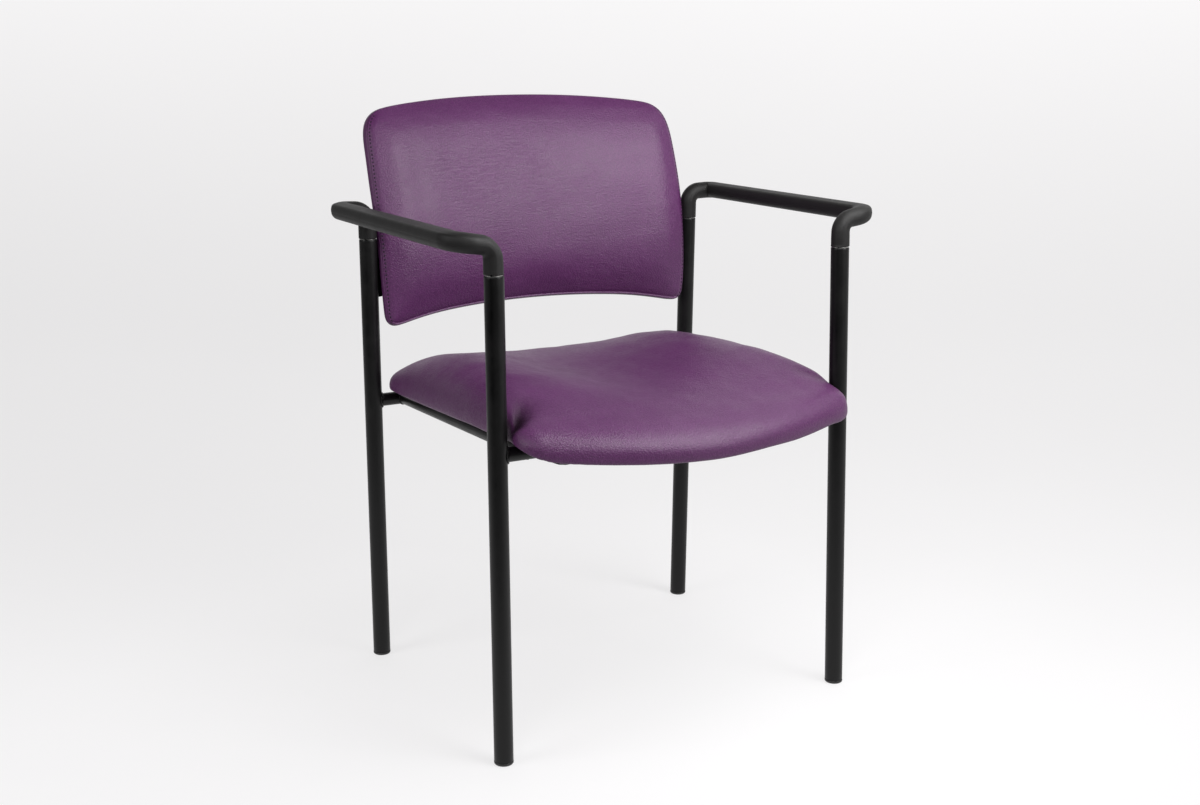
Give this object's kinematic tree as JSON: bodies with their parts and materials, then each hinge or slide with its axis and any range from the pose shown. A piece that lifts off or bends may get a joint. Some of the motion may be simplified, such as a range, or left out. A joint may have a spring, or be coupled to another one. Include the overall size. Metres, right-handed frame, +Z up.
{
  "type": "visitor armchair",
  "caption": "Visitor armchair: black round-tube frame with moulded armrests, contoured waterfall seat and curved low back in grained vinyl.",
  "frame": {"origin": "on the floor, under the centre of the overall box", "axes": "+Z up, front of the chair towards -Y, +X to the right seen from the front"},
  "size_m": [0.6576, 0.6256, 0.8345],
  "materials": {
    "frame": "satin black powder coat on round steel tube",
    "bare_steel": "drawn steel tube",
    "arm_pad": "self skinned moulded foam, fine matt grain",
    "glide": "black nylon",
    "plywood": "bare moulded plywood",
    "foam": "upholstery foam",
    "vinyl": "coated upholstery vinyl, fine leather grain, satin",
    "dust_cloth": "black non-woven cloth",
    "zinc": "zinc plated",
    "black_zinc": "black finished screw"
  },
  "bodies": {
    "root": {"front_leg_left": "frame", "front_leg_right": "frame", "rear_leg_left": "frame", "rear_leg_right": "frame", "front_cross_rail": "frame", "rear_cross_rail": "frame", "side_rail_left": "frame", "side_rail_right": "frame", "back_bracket_left": "frame", "back_bracket_right": "frame", "arm_core_left": "bare_steel", "arm_core_right": "bare_steel", "armrest_cover_left": "arm_pad", "armrest_cover_right": "arm_pad", "foot_glide_front_left": "glide", "foot_glide_front_right": "glide", "foot_glide_rear_left": "glide", "foot_glide_rear_right": "glide", "seat_board": "plywood", "seat_foam": "foam", "seat_cover": "vinyl", "seat_dust_cover": "dust_cloth", "seat_screws": "zinc", "seat_tee_nuts": "zinc", "seat_washers": "glide", "back_board": "plywood", "back_foam": "foam", "back_cover_front": "vinyl", "back_cover_rear": "vinyl", "back_screws": "black_zinc", "back_tee_nuts": "zinc"}
  },
  "joints": []
}
